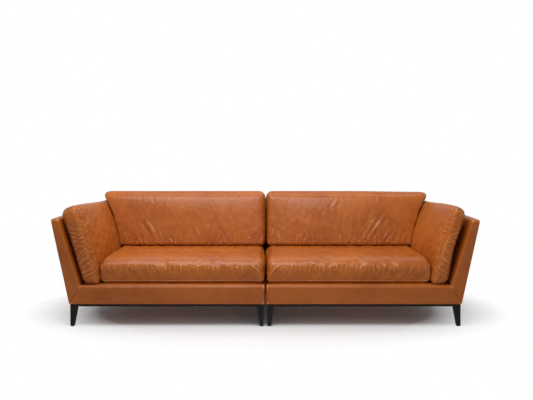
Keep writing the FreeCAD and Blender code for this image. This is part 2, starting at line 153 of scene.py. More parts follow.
@dataclass(frozen=True)
class Hexahedron:
    """Eight corners, indexed [x][y][z] with 0 for low and 1 for high."""

    corners: Points

    @classmethod
    def of_node(cls, node: str, share: float = 0.3) -> "Hexahedron":
        """Finds the sharp-edged block that a node's six main faces bound.

        Args:
            node: The node's name.
            share: How large a face's triangle has to be, as a share of the largest one.

        Returns:
            The block.
        """
        faces = []
        for axis in range(3):
            step = tuple(int(axis == i) for i in range(3))
            back = tuple(-value for value in step)
            faces.append([main_face(node, way, share) for way in (back, step)])
        corners = [
            [[crossing((faces[0][i], faces[1][j], faces[2][k])) for k in (0, 1)] for j in (0, 1)]
            for i in (0, 1)
        ]
        return cls(np.array(corners))

    def place(self, unit: Points) -> Points:
        """Maps points of the cube from -1 to 1 into the block, linearly along each edge.

        Args:
            unit: The points on or in the cube.

        Returns:
            Their places in the block.
        """
        share = (unit + 1) / 2
        result = np.zeros_like(unit)
        for i in (0, 1):
            for j in (0, 1):
                for k in (0, 1):
                    weight = np.ones(len(unit))
                    for axis, end in enumerate((i, j, k)):
                        weight = weight * (share[:, axis] if end else 1 - share[:, axis])
                    result += weight[:, None] * self.corners[i, j, k]
        return result

    def lengths(self) -> Points:
        """The mean length of the block's edges along each of its three ways."""
        sides = [np.diff(self.corners, axis=axis).reshape(-1, 3) for axis in range(3)]
        return np.array([np.linalg.norm(side, axis=1).mean() for side in sides])


# --- Node trees ---------------------------------------------------------------


def put(tree: Tree, kind: str, sockets: dict | None = None, **settings: Any) -> bpy.types.Node:
    """Adds a node to a tree.

    Args:
        tree: The tree it goes into.
        kind: The node's type, such as "ShaderNodeMix".
        sockets: What each input takes, by name or index: another node's output, or a value.
        **settings: The node's own properties.

    Returns:
        The new node.
    """
    node = tree.nodes.new(kind)
    for name, value in settings.items():
        setattr(node, name, value)
    for name, value in (sockets or {}).items():
        if isinstance(value, Socket):
            tree.links.new(value, node.inputs[name])
        else:
            node.inputs[name].default_value = value
    return node


def noise(tree: Tree, vector: Socket, scale: float, detail: float) -> Socket:
    """The value of a noise texture on a vector."""
    sockets = {"Vector": vector, "Scale": scale, "Detail": detail}
    return put(tree, "ShaderNodeTexNoise", sockets).outputs[0]


def ramp(
    tree: Tree, value: Socket, low: float, high: float, to_low: float = 0.0, to_high: float = 1.0
) -> Socket:
    """A value taken evenly from one range to another, clamped at its ends."""
    sockets = {"Value": value, 1: low, 2: high, 3: to_low, 4: to_high}
    return put(tree, "ShaderNodeMapRange", sockets).outputs[0]


def sums(tree: Tree, operation: str, first: Value, second: Value) -> Socket:
    """The result of one sum on two values."""
    return put(tree, "ShaderNodeMath", {0: first, 1: second}, operation=operation).outputs[0]


def opaque(color: Triple) -> tuple[float, float, float, float]:
    """A colour with an alpha of 1."""
    return (*color, 1.0)


def tint(tree: Tree, factor: Socket, first: Socket | tuple, second: Socket | tuple) -> Socket:
    """The blend of two colours by a factor, from the first at 0 to the second at 1."""
    sockets = {0: factor, 6: first, 7: second}
    return put(tree, "ShaderNodeMix", sockets, data_type="RGBA", blend_type="MIX").outputs[2]


def new_material(name: str) -> tuple[bpy.types.Material, Tree]:
    """Makes a material with an empty node tree.

    Args:
        name: The material's name.

    Returns:
        The material and its tree.
    """
    material = bpy.data.materials.new(name)
    material.use_nodes = True
    material.node_tree.nodes.clear()
    return material, material.node_tree


def show(tree: Tree, sockets: dict) -> None:
    """Ends a material's tree in a principled shader that takes these inputs."""
    shader = put(tree, "ShaderNodeBsdfPrincipled", sockets)
    put(tree, "ShaderNodeOutputMaterial", {"Surface": shader.outputs[0]})


class SharedGroup:
    """A shader node group that several materials use, built once."""

    made: dict[str, Tree] = {}

    @classmethod
    def get(cls, name: str, inputs: dict, outputs: dict, build: Callable[[Tree, Any], dict]) -> Tree:
        """The group of this name, built the first time it is asked for.

        Args:
            name: The group's name.
            inputs: The type and default of each input, by name.
            outputs: The type of each output, by name.
            build: Fills the tree: takes the tree and the group's input node, returns the outputs.

        Returns:
            The group's node tree.
        """
        if name in cls.made:
            return cls.made[name]
        tree = bpy.data.node_groups.new(name, "ShaderNodeTree")
        for socket, (kind, default) in inputs.items():
            made = tree.interface.new_socket(socket, in_out="INPUT", socket_type=kind)
            if default is not None:
                made.default_value = default
        for socket, kind in outputs.items():
            tree.interface.new_socket(socket, in_out="OUTPUT", socket_type=kind)
        source = tree.nodes.new("NodeGroupInput")
        results = build(tree, source.outputs)
        sink = tree.nodes.new("NodeGroupOutput")
        for socket, value in results.items():
            tree.links.new(value, sink.inputs[socket])
        cls.made[name] = tree
        return tree


# How many marks of each kind lie along a metre of leather.
CLOUDS, PATCHES, WRINKLES, CELLS, PORES = 3.0, 14.0, 60.0, 420.0, 900.0


def leather_surface(tree: Tree, given: Any) -> dict[str, Socket]:
    """Fills the group for aniline leather: cloudy dye, fine grain, ridges tinted pale for rubbed dye and
    as a painted highlight, and hollows tinted dark as painted shade.

    Args:
        tree: The group's tree.
        given: The outputs of the group's input node.

    Returns:
        The leather's colour, roughness and height.
    """
    where = given["Vector"]
    cloud = noise(tree, where, CLOUDS, 3.0)
    patch = noise(tree, where, PATCHES, 4.0)
    cells = put(tree, "ShaderNodeTexVoronoi", {"Vector": where, "Scale": CELLS}).outputs[0]
    pores = noise(tree, where, PORES, 2.0)
    wrinkle = noise(tree, where, WRINKLES, 6.0)
    cloudy = tint(tree, ramp(tree, cloud, 0.35, 0.65), given["Dark"], given["Tan"])
    dyed = tint(tree, ramp(tree, patch, 0.3, 0.75, 0.0, 0.45), cloudy, given["Pale"])
    # Painted highlight, with some real rubbed dye: points that stand proud of their neighbours, on ridges
    # and seam cords, are tinted towards the pale ridge colour.
    ridge = ramp(tree, given["Crease"], 0.1, 0.8, 0.0, 0.75)
    worn = tint(tree, ridge, dyed, given["Worn"])
    # Painted shade: points that sit below their neighbours, at the bottom of creases and in hollows, are
    # tinted towards the dark colour as if in shadow.
    fold = ramp(tree, given["Crease"], -0.1, -0.8, 0.0, 0.7)
    color = tint(tree, fold, worn, given["Dark"])
    gloss = ramp(tree, sums(tree, "ADD", patch, wrinkle), 0.6, 1.4, -0.06, 0.06)
    roughness = sums(tree, "ADD", given["Roughness"], gloss)
    grain = sums(tree, "MULTIPLY", cells, 0.5)
    fine = sums(tree, "ADD", grain, sums(tree, "MULTIPLY", pores, 0.25))
    height = sums(tree, "ADD", fine, wrinkle)
    return {"Color": color, "Roughness": roughness, "Height": height}


@dataclass(frozen=True)
class Leather:
    """Smooth aniline leather, dyed through and lightly waxed.

    Attributes:
        name: The material's name.
        tan: The usual colour.
        dark: The colour of its clouds, and the painted shade at the bottom of a crease.
        pale: The colour of its light patches.
        roughness: The usual roughness.
        bump: How strongly the grain shows.
        worn: The colour of ridges, partly where the dye has rubbed off and partly a painted highlight.
        relief: The height of the grain.
        specular: The strength of its reflections.
    """

    name: str
    tan: Triple
    dark: Triple
    pale: Triple
    roughness: float
    bump: float
    # The pale ridge colour: partly real rubbed dye, partly a painted highlight.
    worn: Triple = (0.58, 0.25, 0.09)
    relief: float = 0.0008
    specular: float = 0.3

    def group(self) -> Tree:
        """The node group that every leather shares.

        Returns:
            The group's node tree.
        """
        inputs = {"Vector": ("NodeSocketVector", None)}
        inputs |= {name: ("NodeSocketColor", None) for name in ("Tan", "Dark", "Pale", "Worn")}
        inputs |= {"Crease": ("NodeSocketFloat", 0.0), "Roughness": ("NodeSocketFloat", 0.4)}
        outputs = {"Color": "NodeSocketColor", "Roughness": "NodeSocketFloat", "Height": "NodeSocketFloat"}
        return SharedGroup.get("leather_surface", inputs, outputs, leather_surface)

    def make(self) -> bpy.types.Material:
        """Builds the material.

        Returns:
            The finished material.
        """
        material, tree = new_material(self.name)
        sockets = {
            "Vector": put(tree, "ShaderNodeTexCoord").outputs["Object"],
            "Tan": opaque(self.tan),
            "Dark": opaque(self.dark),
            "Pale": opaque(self.pale),
            "Worn": opaque(self.worn),
            "Crease": put(tree, "ShaderNodeAttribute", attribute_name="crease").outputs["Fac"],
            "Roughness": self.roughness,
        }
        surface = put(tree, "ShaderNodeGroup", sockets, node_tree=self.group())
        relief = {"Height": surface.outputs["Height"], "Strength": self.bump, "Distance": self.relief}
        show(
            tree,
            {
                "Base Color": surface.outputs["Color"],
                "Roughness": surface.outputs["Roughness"],
                "Normal": put(tree, "ShaderNodeBump", relief).outputs[0],
                "Specular IOR Level": self.specular,
            },
        )
        return material


@dataclass(frozen=True)
class PlainFinish:
    """A finish of two close tones with a fine relief, for timber, steel, foam and cloth.

    Attributes:
        name: The material's name, which is also its slot's.
        light: The light tone.
        dark: The dark tone.
        roughness: The middle of the range of its roughness.
        scale: How many marks lie along a metre of X, Y and Z.
        detail: How fine the smallest marks are.
        bump: How strongly the relief shows.
        relief: The height of the relief.
        metallic: 1 for metal.
        specular: The strength of its reflections.
    """

    name: str
    light: Triple
    dark: Triple
    roughness: float
    scale: Triple = (30.0, 30.0, 30.0)
    detail: float = 4.0
    bump: float = 0.2
    relief: float = 0.0004
    metallic: float = 0.0
    specular: float = 0.5

    def make(self) -> bpy.types.Material:
        """Builds the material.

        Returns:
            The finished material.
        """
        material, tree = new_material(self.name)
        where = put(tree, "ShaderNodeTexCoord").outputs["Object"]
        scaled = put(tree, "ShaderNodeMapping", {"Vector": where, "Scale": self.scale}).outputs[0]
        pattern = noise(tree, scaled, 1.0, self.detail)
        color = tint(tree, ramp(tree, pattern, 0.35, 0.65), opaque(self.dark), opaque(self.light))
        rough = ramp(tree, pattern, 0.3, 0.7, self.roughness + 0.06, self.roughness - 0.06)
        relief = {"Height": pattern, "Strength": self.bump, "Distance": self.relief}
        show(
            tree,
            {
                "Base Color": color,
                "Roughness": rough,
                "Normal": put(tree, "ShaderNodeBump", relief).outputs[0],
                "Metallic": self.metallic,
                "Specular IOR Level": self.specular,
            },
        )
        return material


CUSHION_LEATHER = Leather(
    "cushion_leather", (0.41, 0.102, 0.012), (0.31, 0.068, 0.007), (0.47, 0.140, 0.020), 0.30, 0.20
)
FRAME_LEATHER = Leather(
    "frame_leather", (0.37, 0.092, 0.012), (0.29, 0.064, 0.007), (0.42, 0.118, 0.018), 0.36, 0.20
)
WOOD, METAL = {"specular": 0.25}, {"metallic": 1.0}
NODE_FINISHES = {
    name: PlainFinish(name, light, dark, roughness, scale, **more)
    for name, light, dark, roughness, scale, more in (
        ("black_wood", (0.005, 0.005, 0.006), (0.0025,) * 3, 0.5, (90, 90, 6), WOOD),
        ("frame_timber", (0.60, 0.42, 0.24), (0.45, 0.28, 0.14), 0.7, (8, 60, 60), {}),
        ("shell_padding", (0.80, 0.74, 0.55), (0.70, 0.63, 0.42), 0.95, (400,) * 3, {}),
        ("deck_felt", (0.06, 0.05, 0.05), (0.03, 0.028, 0.028), 0.95, (300,) * 3, {}),
        ("cushion_fill", (0.85, 0.84, 0.80), (0.75, 0.74, 0.70), 0.95, (200,) * 3, {}),
        ("dust_cloth", (0.02,) * 3, (0.01,) * 3, 0.9, (500,) * 3, {}),
        ("elastic_webbing", (0.25, 0.19, 0.12), (0.12, 0.09, 0.06), 0.85, (800, 800, 80), {}),
        ("spring_steel", (0.40, 0.40, 0.42), (0.22, 0.22, 0.24), 0.35, (60,) * 3, METAL),
        ("bolt_steel", (0.62, 0.62, 0.60), (0.5, 0.5, 0.48), 0.3, (90,) * 3, METAL),
        ("coupling_steel", (0.58, 0.58, 0.60), (0.45, 0.45, 0.47), 0.28, (20, 200, 200), METAL),
        ("glide_plastic", (0.03,) * 3, (0.018,) * 3, 0.55, (250,) * 3, {}),
    )
}


# --- Mesh helpers ---------------------------------------------------------------


def grid_cube(counts: tuple[int, int, int]) -> bmesh.types.BMesh:
    """A cube from -1 to 1 whose faces are cut into a square grid.

    Args:
        counts: How many grid cells run along X, Y and Z.

    Returns:
        The new bmesh.
    """
    bm = bmesh.new()
    bmesh.ops.create_cube(bm, size=2.0)
    for axis, count in enumerate(counts):
        along = [e for e in bm.edges if abs((e.verts[0].co - e.verts[1].co)[axis]) > 1e-6]
        if count > 1:
            bmesh.ops.subdivide_edges(bm, edges=along, cuts=count - 1, use_grid_fill=True)
    return bm


def places(mesh: bpy.types.Mesh) -> Points:
    """Reads the places of a mesh's vertices.

    Args:
        mesh: The mesh.

    Returns:
        One row per vertex.
    """
    flat = np.empty(len(mesh.vertices) * 3)
    mesh.vertices.foreach_get("co", flat)
    return flat.reshape(-1, 3)


def set_places(mesh: bpy.types.Mesh, points: Points) -> None:
    """Moves a mesh's vertices to new places."""
    mesh.vertices.foreach_set("co", np.ascontiguousarray(points, dtype=np.float32).ravel())
    mesh.update()


def normals(mesh: bpy.types.Mesh) -> Points:
    """Reads the normals of a mesh's vertices.

    Args:
        mesh: The mesh.

    Returns:
        One row per vertex.
    """
    flat = np.empty(len(mesh.vertices) * 3, dtype=np.float32)
    mesh.vertex_normals.foreach_get("vector", flat)
    return flat.reshape(-1, 3).astype(float)


def new_piece(name: str, bm: bmesh.types.BMesh) -> bpy.types.Object:
    """Turns a bmesh into a smooth-shaded piece in the scene, and frees it.

    Args:
        name: The piece's name.
        bm: The bmesh.

    Returns:
        The new piece.
    """
    mesh = bpy.data.meshes.new(name)
    bm.to_mesh(mesh)
    bm.free()
    mesh.shade_smooth()
    piece = bpy.data.objects.new(name, mesh)
    bpy.context.scene.collection.objects.link(piece)
    return piece


def rounded(unit: Points, lengths: Points, radii: Points) -> Points:
    """Rounds the edges of a block given as points on the cube from -1 to 1.

    Args:
        unit: Points on the cube's surface.
        lengths: The block's three lengths.
        radii: How far the rounding reaches along each axis, one row per point or one for all.

    Returns:
        The rounded block's points, in the same cube coordinates.
    """
    half = lengths / 2
    place = unit * half
    core = np.clip(place, radii - half, half - radii)
    offset = (place - core) / radii
    length = np.maximum(np.linalg.norm(offset, axis=1, keepdims=True), TINY)
    reach = np.abs(offset).max(axis=1, keepdims=True)
    return (core + radii * offset * reach / length) / half


def smooth_step(value: Points, low: float, high: float) -> Points:
    """Runs smoothly from 0 at low to 1 at high."""
    share = np.clip((value - low) / (high - low), 0, 1)
    return share * share * (3 - 2 * share)


def ripple(points: Points, seed: int, wave: float, count: int = 9) -> Points:
    """A smooth random value between about -1 and 1 for each point.

    Args:
        points: The places to take it at.
        seed: Chooses the pattern.
        wave: The usual distance between its crests.
        count: How many waves are added up.

    Returns:
        One value per point.
    """
    random = np.random.default_rng(seed)
    ways = random.normal(size=(count, 3))
    ways /= np.linalg.norm(ways, axis=1, keepdims=True)
    pitch = 2 * math.pi / (wave * random.uniform(0.7, 1.5, count))
    phase = random.uniform(0, 2 * math.pi, count)
    return np.sin(points @ (ways * pitch[:, None]).T + phase).sum(axis=1) / math.sqrt(count)


def subdivide(piece: bpy.types.Object, levels: int) -> None:
    """Applies subdivision surface to a piece.

    Args:
        piece: The piece.
        levels: How often its faces are divided.
    """
    modifier = piece.modifiers.new("smooth", "SUBSURF")
    modifier.levels = levels
    modifier.render_levels = levels
    apply_modifiers(piece)


def apply_modifiers(piece: bpy.types.Object) -> None:
    """Makes what a piece's modifiers show its own mesh.

    Args:
        piece: The piece, which keeps its mesh's name.
    """
    graph = bpy.context.evaluated_depsgraph_get()
    shown = bpy.data.meshes.new_from_object(
        piece.evaluated_get(graph), preserve_all_data_layers=True, depsgraph=graph
    )
    piece.modifiers.clear()
    old = piece.data
    name = old.name
    piece.data = shown
    bpy.data.meshes.remove(old)
    shown.name = name


def tube(name: str, ring: Points, radius: float, wear_and_highlight: float) -> bpy.types.Object:
    """Makes a closed cord of leather that runs through a ring of points.

    Args:
        name: The piece's name.
        ring: The points, in order.
        radius: The cord's radius.
        wear_and_highlight: How pale the cord is tinted, for rubbed dye and as a painted highlight, from 0
            to 1.

    Returns:
        The new piece.
    """
    curve = bpy.data.curves.new(name, "CURVE")
    curve.dimensions = "3D"
    curve.bevel_depth = radius
    curve.bevel_resolution = 2
    spline = curve.splines.new("POLY")
    spline.points.add(len(ring) - 1)
    spline.points.foreach_set("co", np.column_stack([ring, np.ones(len(ring))]).ravel())
    spline.use_cyclic_u = True
    cord = bpy.data.objects.new(name, curve)
    bpy.context.scene.collection.objects.link(cord)
    graph = bpy.context.evaluated_depsgraph_get()
    bm = bmesh.new()
    bm.from_mesh(bpy.data.meshes.new_from_object(cord.evaluated_get(graph)))
    bpy.data.objects.remove(cord)
    piece = new_piece(name, bm)
    # Painted highlight, with some real rubbed dye: the whole cord gets one crease value, so the leather
    # tints it pale.
    write_crease(piece.data, np.full(len(piece.data.vertices), wear_and_highlight))
    return piece


def write_crease(mesh: bpy.types.Mesh, value: Points) -> None:
    """Stores one value per point as the attribute "crease", which the leather reads."""
    note = mesh.attributes.new("crease", "FLOAT", "POINT")
    note.data.foreach_set("value", value.astype(np.float32))


def read_unit(mesh: bpy.types.Mesh) -> Points:
    """Reads each point's place on the cube from -1 to 1 back from the attribute "unit".

    Args:
        mesh: The mesh, which may have been subdivided since.

    Returns:
        One row per point.
    """
    flat = np.empty(len(mesh.vertices) * 3, dtype=np.float32)
    mesh.attributes["unit"].data.foreach_get("vector", flat)
    return flat.reshape(-1, 3).astype(float)


def note_creases(piece: bpy.types.Object, reach: float = 0.004, passes: int = 2) -> None:
    """Stores how much each point stands proud of its neighbours as the attribute "crease", from which the
    leather paints ridges pale and hollows dark.

    Args:
        piece: The finished piece.
        reach: The height over the neighbours, at a spacing of 10 mm, that counts as 1.
        passes: How often the value is averaged with its neighbours.
    """
    mesh = piece.data
    points = places(mesh)
    ends = np.empty(len(mesh.edges) * 2, dtype=np.int32)
    mesh.edges.foreach_get("vertices", ends)
    ends = ends.reshape(-1, 2)
    degree = np.maximum(np.bincount(ends.ravel(), minlength=len(points)), 1)

    def around(value: Points) -> Points:
        """Averages a value over each point's neighbours.

        Args:
            value: One value or row per point.

        Returns:
            The averages.
        """
        total = np.zeros_like(value)
        np.add.at(total, ends[:, 0], value[ends[:, 1]])
        np.add.at(total, ends[:, 1], value[ends[:, 0]])
        return total / (degree[:, None] if value.ndim > 1 else degree)

    length = np.linalg.norm(points[ends[:, 0]] - points[ends[:, 1]], axis=1)
    spacing = np.zeros(len(points))
    np.add.at(spacing, ends[:, 0], length)
    np.add.at(spacing, ends[:, 1], length)
    spacing /= degree
    rise = ((points - around(points)) * normals(mesh)).sum(axis=1)
    usual = 0.01**2
    value = rise / np.maximum(spacing, 1e-4) ** 2 * usual / reach
    for _ in range(passes):
        value = 0.5 * value + 0.5 * around(value)
    write_crease(mesh, np.clip(value, -1, 1))


# --- Cushions ---------------------------------------------------------------------


@dataclass(frozen=True)
class Fold:
    """A pinched ridge, or a crease where its height is negative, along a line on a cushion.

    The line's points are in the cushion's cube coordinates. The ridge falls off to both
    sides over its width, with a shallow trough along it, and dies out at both ends.
    """

    path: tuple[tuple[float, float, float], ...]
    height: float
    width: float

    def lift(self, where: Points, half: Points) -> Points:
        """How far the fold raises each point.

        Args:
            where: The points' places on the flat-sided block, in metres from its middle.
            half: Half the block's three lengths.

        Returns:
            One height per point.
        """
        knots = np.array(self.path, dtype=float) * half
        best = np.full(len(where), np.inf)
        share = np.zeros(len(where))
        for i in range(len(knots) - 1):
            way = knots[i + 1] - knots[i]
            t = np.clip((where - knots[i]) @ way / (way @ way), 0, 1)
            apart = np.linalg.norm(where - (knots[i] + t[:, None] * way), axis=1)
            nearer = apart < best
            best[nearer] = apart[nearer]
            share[nearer] = (i + t[nearer]) / (len(knots) - 1)
        across = best / self.width
        profile = np.exp(-(across**2)) - 0.45 * np.exp(-((across - 1.7) ** 2) / 0.6)
        return self.height * profile * np.sin(np.pi * np.clip(share, 0, 1)) ** 0.5


def on_front(across: float, up: float) -> Triple:
    """The cube's coordinates of a point on its front."""
    return (across, -1.0, up)


# How the creases of one row differ: in height and width, and the share that stand proud.
HEIGHT_SPREAD = (0.35, 1.3)
WIDTH_SPREAD = (0.7, 1.4)
PROUD_SHARE = 0.6


def pleats(
    seed: int,
    count: int,
    low: tuple[float, float],
    high: tuple[float, float],
    span: tuple[float, float],
    place: Callable[[float, float], Triple],
    slant: float = 0.02,
    height: float = 0.0036,
    width: float = 0.0065,
) -> list[Fold]:
    """A row of short creases that gather at a seam.

    Args:
        seed: Chooses the row.
        count: How many creases there are.
        low: The range of their ends next to the seam.
        high: The range of their far ends.
        span: The stretch of the seam that they are spread over.
        place: Gives the cube coordinates of a point along and across the seam.
        slant: How far a crease may lean along the seam.
        height: The usual height of a ridge.
        width: The usual width of a ridge.

    Returns:
        The creases.
    """
    random = np.random.default_rng(seed)
    folds = []
    for number in range(count):
        at = span[0] + (span[1] - span[0]) * (number + random.uniform(0.1, 0.9)) / count
        start, stop = random.uniform(*low), random.uniform(*high)
        lean = random.normal() * slant
        path = tuple(
            place(at + lean * share + 0.3 * slant * random.normal(), start + (stop - start) * share)
            for share in (0.0, 0.35, 0.7, 1.0)
        )
        rise = height * random.uniform(*HEIGHT_SPREAD) * (1 if random.random() < PROUD_SHARE else -1)
        folds.append(Fold(path, rise, width * random.uniform(*WIDTH_SPREAD)))
    return folds


def end_swell(side: Side, depth: Points, height: float = 0.0095) -> Points:
    """How far an inner end swells past the middle of the sofa at each depth, from -1 to 1.

    The left half swells near the front and the right half near the rear, so the two
    lean on each other and no light passes between them.

    Args:
        side: The half of the sofa.
        depth: Each point's place from the front, -1, to the rear, 1.
        height: The most that the end swells.

    Returns:
        One distance per point.
    """
    peak = 0.35 * side.value
    return height * np.exp(-(((depth - peak) / 0.45) ** 2))


@dataclass(frozen=True)
class ArmFace:
    """The swollen inner face of an arm cushion, which the seat and back are pressed against.

    Attributes:
        side: The half of the sofa.
        swell: How far the face stands proud of a flat one, at most.
        gap: The room that is left between the face and a neighbour.
        release: How far a neighbour may spread above the arm cushion.
        corner_room: The room that the arm cushion's rounded front edge leaves.
        corner_depth: Where that room starts to close and is closed, from the front.
        full_from: The share of the depth by which the face is fully swollen.
    """

    side: Side
    swell: float = 0.048
    gap: float = 0.003
    release: float = 0.2
    corner_room: float = 0.014
    corner_depth: tuple[float, float] = (0.02, 0.10)
    full_from: float = 0.6

    @property
    def block(self) -> Hexahedron:
        """The block that bounds the arm cushion."""
        return Hexahedron.of_node(f"{self.side.word}_arm_cushion_cover")

    def share(self, points: Points, block: Hexahedron) -> Points:
        """How high up the arm cushion each point is, from 0 to 1."""
        low, high = block.corners[..., 2].min(), block.corners[..., 2].max()
        return (points[:, 2] - low) / (high - low)

    def bulge(self, points: Points, block: Hexahedron) -> Points:
        """Finds how far the face stands proud of a flat one at each point's height and depth.

        Args:
            points: The points.
            block: The arm cushion's block.

        Returns:
            One distance per point.
        """
        front, rear = block.corners[..., 1].min(), block.corners[..., 1].max()
        along = np.clip((points[:, 1] - front) / (self.full_from * (rear - front)), 0, 1)
        up = np.clip(1 - (2 * self.share(points, block) - 1) ** 2, 0, 1)
        return self.swell * (1 - (1 - along) ** 2) * up

    def press(self, points: Points) -> Points:
        """Pushes points that would be inside the arm cushion back to its face.

        Args:
            points: The points of a neighbour, which are changed.

        Returns:
            The same points.
        """
        block = self.block
        inner = 0 if self.side is Side.RIGHT else 1
        low, high = np.abs(block.corners[inner, 0, :, 0])
        share = self.share(points, block)
        reach = low + share * (high - low) - self.bulge(points, block) - self.gap
        reach += self.release * smooth_step(points[:, 2], *self.free_above)
        front = block.corners[..., 1].min()
        opens, closed = self.corner_depth
        reach += self.corner_room * (1 - smooth_step(points[:, 1], front + opens, front + closed))
        out = points[:, 0] * self.side.value
        points[:, 0] = np.minimum(out, reach) * self.side.value
        return points

    @property
    def free_above(self) -> tuple[float, float]:
        """The heights between which the arm cushion's rear end leaves off."""
        top = self.block.corners[..., 2].max()
        return top - 0.03, top + 0.05


@dataclass
class Cushion(ABC):
    """A loose cushion: a leather cover, eased on to a foam and fibre filling.

    Attributes:
        side: The half of the sofa that it belongs to.
        spacing: The distance between the points that are simulated.
        ease: How much larger the leather is than the filling away from the seams.
        steps: How many frames the leather is left to settle.
        cap: The furthest that settling moves a point.
        hold: How firmly the filling usually holds the leather, from 0 to 1.
        pressure: How hard the filling presses outwards.
        bending: How stiff the leather is.
        seed: Chooses the patterns of its creases.
        fill: How tight the finished cushion is, from 0 to 1; not used.
        part: The cushion's name without its side.
        deck_lift: How far its underside is kept above the block's, which it may sink into.
        welt: The radius of its corded seams.
        wear_and_highlight: How pale those are tinted, for rubbed dye and as a painted highlight, from 0 to
            1.
        groove: The depth and half width of the groove that a seam lies in.
        past_middle: How far its inner end may pass the middle of the sofa.
    """

    side: Side
    spacing: float = 0.021
    ease: float = 0.02
    steps: int = 16
    cap: float = 0.0045
    hold: float = 0.4
    pressure: float = 1.5
    bending: float = 2.0
    seed: int = 1
    fill: float = 0.75
    part: str = ""
    deck_lift: float = 0.009
    welt: float = 0.0016
    wear_and_highlight: float = 0.2
    groove: tuple[float, float] = (0.0016, 0.006)
    past_middle: float = 0.002

    @property
    def name(self) -> str:
        """The cushion's own name, which is also its body's."""
        return f"{self.side.word}_{self.part}_cushion"

    @abstractmethod
    def shape(self, unit: Points, block: Hexahedron) -> Points:
        """Places the cube's points on the plump cushion, before the leather settles."""

    @abstractmethod
    def firmness(self, unit: Points) -> Points:
        """How firmly the filling holds each point, as a factor on the usual hold."""

    @abstractmethod
    def seams(self, unit: Points) -> Points:
        """How near each point is to a seam, from 0 to 1."""

    @abstractmethod
    def folds(self) -> list[Fold]:
        """The creases and ridges that use has left in the leather."""

    @abstractmethod
    def seam_rings(self) -> list[tuple[int, float]]:
        """The axis that each seam runs round, and its place along that axis."""

    def crinkle(self, unit: Points) -> Points:
        """The height of the leather's fine crinkles at each point."""
        return np.full(len(unit), 0.0003)

    def welts(self, piece: bpy.types.Object) -> list[bpy.types.Object]:
        """The corded seams that run round the finished cushion.

        Args:
            piece: The cushion, with the attribute "unit" still on its mesh.

        Returns:
            One piece for each seam.
        """
        unit = read_unit(piece.data)
        points = places(piece.data) + normals(piece.data) * (0.8 * MM)
        made = []
        for number, (axis, level) in enumerate(self.seam_rings()):
            sides = [i for i in range(3) if i != axis]
            edge = np.abs(unit[:, sides]).max(axis=1) > ON_FACE
            rows = unit[edge, axis]
            row = rows[np.argmin(np.abs(rows - level))]
            ring = np.flatnonzero(edge & (np.abs(unit[:, axis] - row) < 1e-3))
            angle = np.arctan2(unit[ring, sides[1]], unit[ring, sides[0]])
            path = points[ring[np.argsort(angle)]]
            made.append(tube(f"{self.name}_welt_{number}", path, self.welt, self.wear_and_highlight))
        return made

    def outward(self, unit: Points) -> Points:
        """The cube's X, turned so that it is 1 at the sofa's outer end on both halves."""
        return unit[:, 0] * self.side.value

    def meeting(self, unit: Points) -> Points:
        """How far the inner end swells towards the other half's, as a change in X."""
        inner = smooth_step(-self.outward(unit), 0.93, 1.0) * (1 - unit[:, 2] ** 6)
        return -self.side.value * end_swell(self.side, unit[:, 1]) * inner

    def build(self) -> bpy.types.Object:
        """Makes the cushion's mesh, settles its leather and lays its folds.

        Returns:
            The finished piece.
        """
        block = Hexahedron.of_node(f"{self.name}_cover")
        counts = tuple(max(2, round(length / self.spacing)) for length in block.lengths())
        piece = new_piece(self.name, grid_cube(counts))
        unit = places(piece.data)
        note = piece.data.attributes.new("unit", "FLOAT_VECTOR", "POINT")
        note.data.foreach_set("vector", unit.astype(np.float32).ravel())
        start = self.shape(unit, block)
        start += ripple(start, self.seed, 0.05)[:, None] * (0.6 * MM)
        set_places(piece.data, start)
        self.settle(piece, unit, start)
        subdivide(piece, 2)
        unit = read_unit(piece.data)
        points = places(piece.data)
        half = block.lengths() / 2
        lift = np.zeros(len(points))
        for fold in self.folds():
            lift += fold.lift(unit * half, half)
        depth, width = self.groove
        for axis, level in self.seam_rings():
            across = (unit[:, axis] - level) * half[axis] / width
            lift -= depth * np.exp(-(across**2)) * (np.abs(unit[:, axis]) < ON_FACE)
        fine = ripple(unit * half, self.seed + 1, 0.018) * ripple(unit * half, self.seed + 2, 0.09)
        lift += self.crinkle(unit) * fine
        points += normals(piece.data) * lift[:, None]
        set_places(piece.data, self.confine(points, unit, block))
        note_creases(piece)
        return piece

    def confine(self, points: Points, unit: Points, block: Hexahedron) -> Points:
        """Keeps points off what the cushion stands on and leans against.

        Args:
            points: The cushion's points, which are changed.
            unit: The same points on the cube.
            block: The block that bounds the cushion.

        Returns:
            The same points.
        """
        low = block.corners[..., 2].min() + self.deck_lift
        points[:, 2] = np.maximum(points[:, 2], low)
        inner = points[:, 0] * self.side.value
        points[:, 0] = np.maximum(inner, -self.past_middle) * self.side.value
        return points

